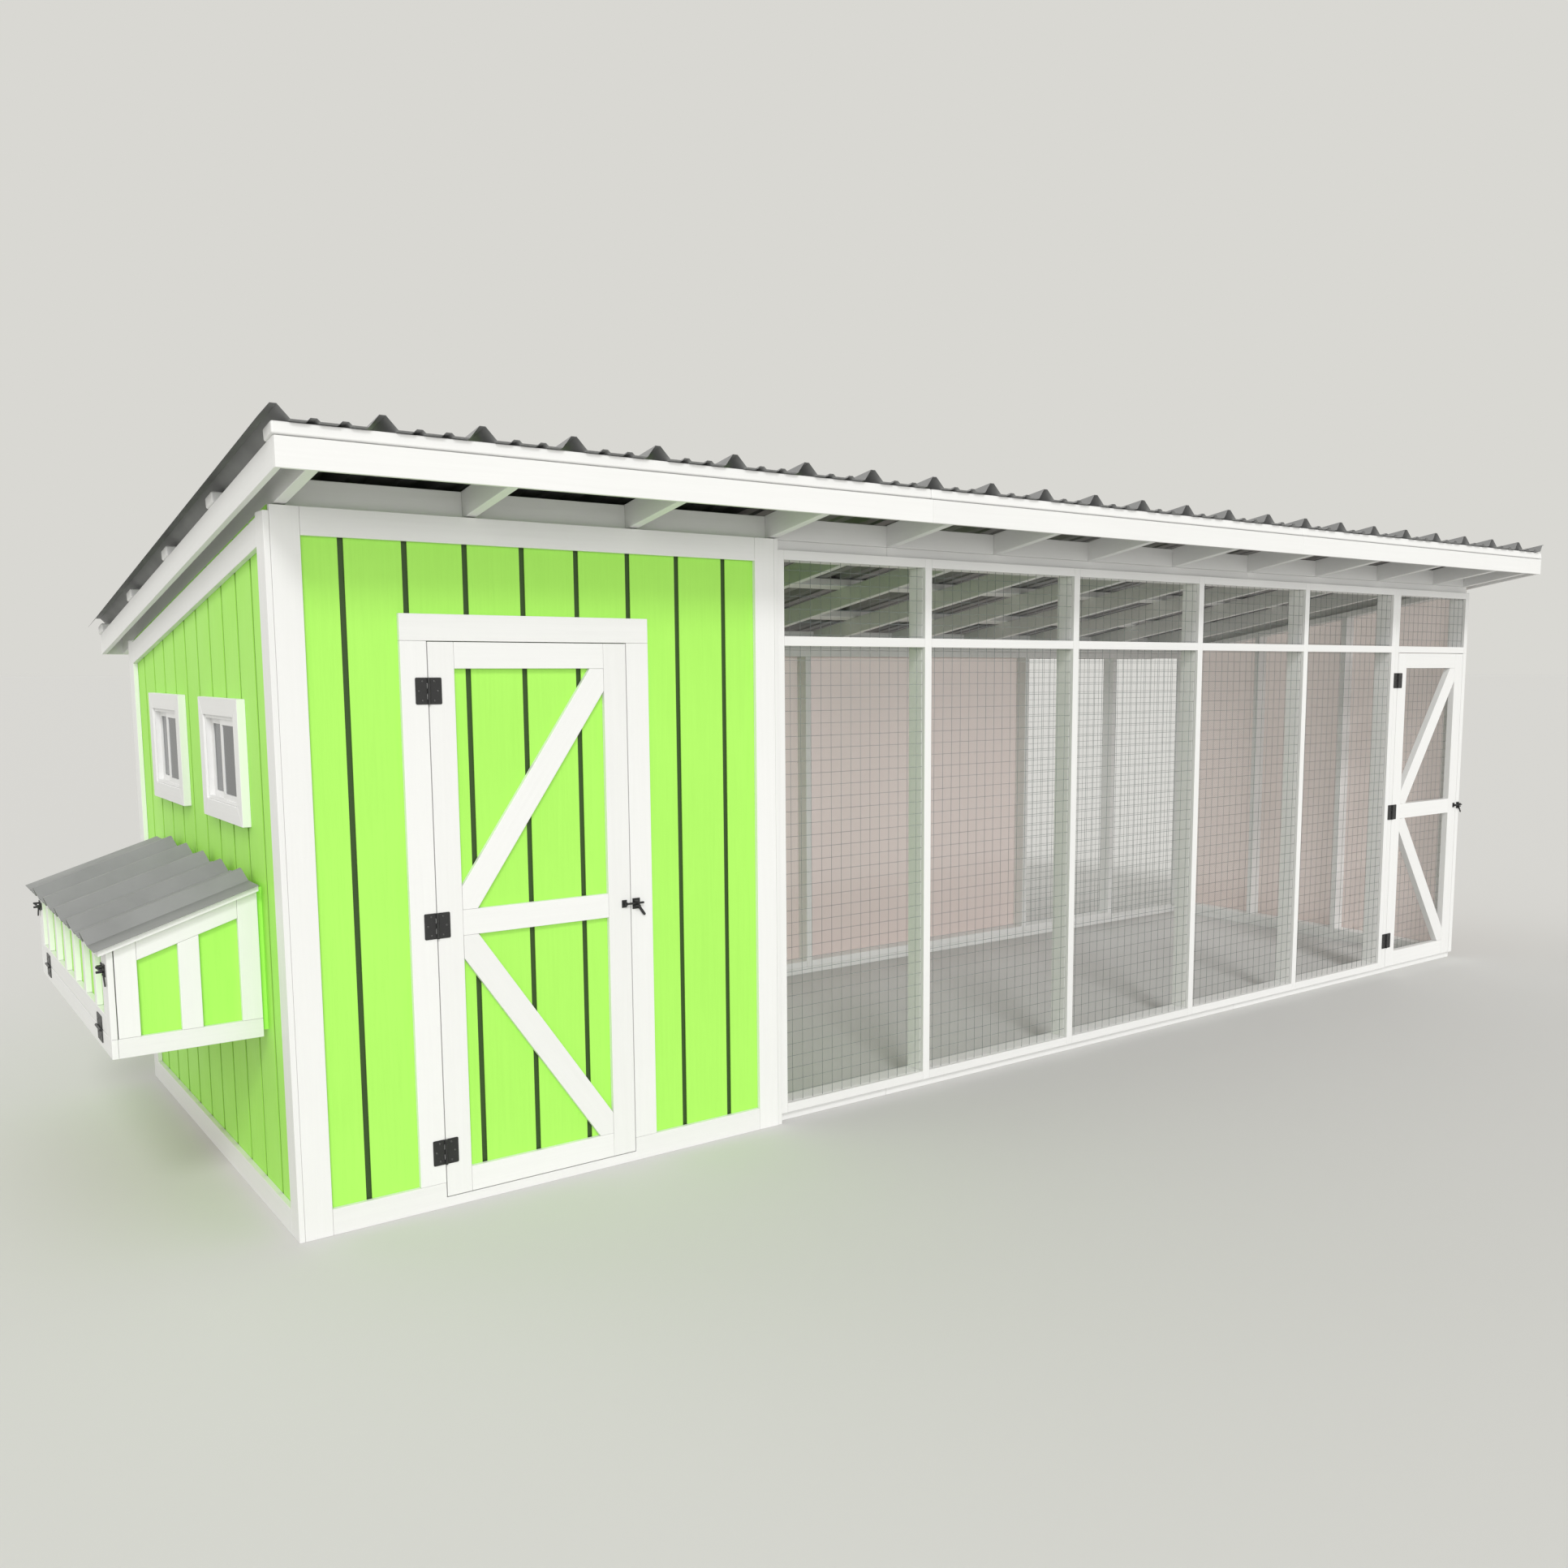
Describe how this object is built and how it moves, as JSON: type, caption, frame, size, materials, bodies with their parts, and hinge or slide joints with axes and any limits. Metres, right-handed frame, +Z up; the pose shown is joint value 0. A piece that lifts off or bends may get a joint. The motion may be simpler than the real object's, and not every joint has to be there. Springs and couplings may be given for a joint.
{
  "type": "chicken coop",
  "caption": "Walk-in chicken coop with an attached covered wire run, hinged doors, sliding windows and an outside nest box with a drop-down door.",
  "frame": {"origin": "on the ground, at the middle of the overall footprint", "axes": "+X along the building from the nest box to the far end of the run, +Y from the front wall to the back wall, +Z up"},
  "size_m": [7.7794, 3.086, 2.6011],
  "materials": {
    "white_boards": "white paint, satin",
    "white_lumber": "white paint, matt",
    "green_siding": "lime green paint, satin",
    "plywood": "bare plywood",
    "bare_wood": "bare planed softwood",
    "roof_steel": "grey painted ribbed steel",
    "black_hardware": "black powder coat",
    "welded_wire": "galvanised wire",
    "screen_cloth": "pale coated fine screen",
    "dark_glass": "clear glass in front of a dark room",
    "window_plastic": "white vinyl"
  },
  "bodies": {
    "root": {"back_siding": "green_siding", "barge_boards": "white_boards", "base_boards": "white_boards", "coop_studs": "white_lumber", "corner_boards": "white_boards", "divider_siding": "green_siding", "door_casing": "white_boards", "fascia_boards": "white_boards", "fine_screens": "screen_cloth", "fixed_hinge_leaves": "black_hardware", "fixed_panes": "dark_glass", "fixed_sashes": "window_plastic", "frieze_boards": "white_boards", "front_siding": "green_siding", "headers_and_sills": "white_lumber", "hinge_pins": "black_hardware", "latch_bodies": "black_hardware", "left_siding": "green_siding", "mesh_battens": "white_boards", "nest_dividers": "plywood", "nest_floor": "plywood", "nest_lid_board": "plywood", "nest_lid_sheet": "roof_steel", "nest_side_panels": "green_siding", "nest_trim_boards": "white_boards", "pop_door_guides": "bare_wood", "purlins": "white_lumber", "rafter_blocking": "white_lumber", "rafters": "white_lumber", "roof_sheets": "roof_steel", "roost_bars": "bare_wood", "roost_cleats": "bare_wood", "run_posts": "white_lumber", "run_rails": "white_lumber", "sole_plates": "white_lumber", "top_plates": "white_lumber", "window_casings": "white_boards", "window_frames": "window_plastic", "wire_mesh": "welded_wire"},
    "coop_door": {"coop_door_panel": "green_siding", "coop_door_frame": "white_boards", "coop_door_hinge_leaves": "black_hardware", "coop_latch_bar": "black_hardware"},
    "run_door": {"run_door_frame": "white_boards", "run_door_mesh": "welded_wire", "run_door_hinge_leaves": "black_hardware", "run_latch_bar": "black_hardware"},
    "nest_door": {"nest_door_panel": "green_siding", "nest_door_boards": "white_boards", "nest_door_hinge_leaves": "black_hardware", "nest_latch_bars": "black_hardware"},
    "front_sash": {"front_window_sash": "window_plastic", "front_window_pane": "dark_glass"},
    "rear_sash": {"rear_window_sash": "window_plastic", "rear_window_pane": "dark_glass"},
    "pop_door_leaf": {"pop_door": "bare_wood"},
    "coop_lever": {"coop_latch_lever": "black_hardware"},
    "run_lever": {"run_latch_lever": "black_hardware"},
    "nest_front_lever": {"nest_front_latch_lever": "black_hardware"},
    "nest_rear_lever": {"nest_rear_latch_lever": "black_hardware"}
  },
  "joints": [
    {"name": "coop_door_swing", "type": "hinge", "parent": "root", "child": "coop_door", "pos_m": [-2.89043, -1.17391, 0.99377], "axis": [0, 0, -1], "range_deg": [0, 110]},
    {"name": "run_door_swing", "type": "hinge", "parent": "root", "child": "run_door", "pos_m": [2.97997, -1.16004, 0.99377], "axis": [0, 0, -1], "range_deg": [0, 110]},
    {"name": "nest_door_drop", "type": "hinge", "parent": "root", "child": "nest_door", "pos_m": [-3.84419, -0.06244, 0.68984], "axis": [0, -1, 0], "range_deg": [0, 170]},
    {"name": "front_sash_slide", "type": "slide", "parent": "root", "child": "front_sash", "axis": [0, -1, 0], "range_m": [0, 0.19575]},
    {"name": "rear_sash_slide", "type": "slide", "parent": "root", "child": "rear_sash", "axis": [0, -1, 0], "range_m": [0, 0.19575]},
    {"name": "pop_door_lift", "type": "slide", "parent": "root", "child": "pop_door_leaf", "axis": [0, 0, 1], "range_m": [0, 0.3556]},
    {"name": "coop_lever_lift", "type": "hinge", "parent": "root", "child": "coop_lever", "pos_m": [-2.12718, -1.16861, 0.97977], "axis": [0, -1, 0], "range_deg": [0, 50]},
    {"name": "run_lever_lift", "type": "hinge", "parent": "root", "child": "run_lever", "pos_m": [3.74322, -1.15474, 0.97977], "axis": [0, -1, 0], "range_deg": [0, 50]},
    {"name": "nest_front_lever_lift", "type": "hinge", "parent": "root", "child": "nest_front_lever", "pos_m": [-3.83889, -0.82119, 0.89744], "axis": [-1, 0, 0], "range_deg": [0, 50]},
    {"name": "nest_rear_lever_lift", "type": "hinge", "parent": "root", "child": "nest_rear_lever", "pos_m": [-3.83889, 0.69631, 0.89744], "axis": [1, 0, 0], "range_deg": [0, 50]}
  ]
}
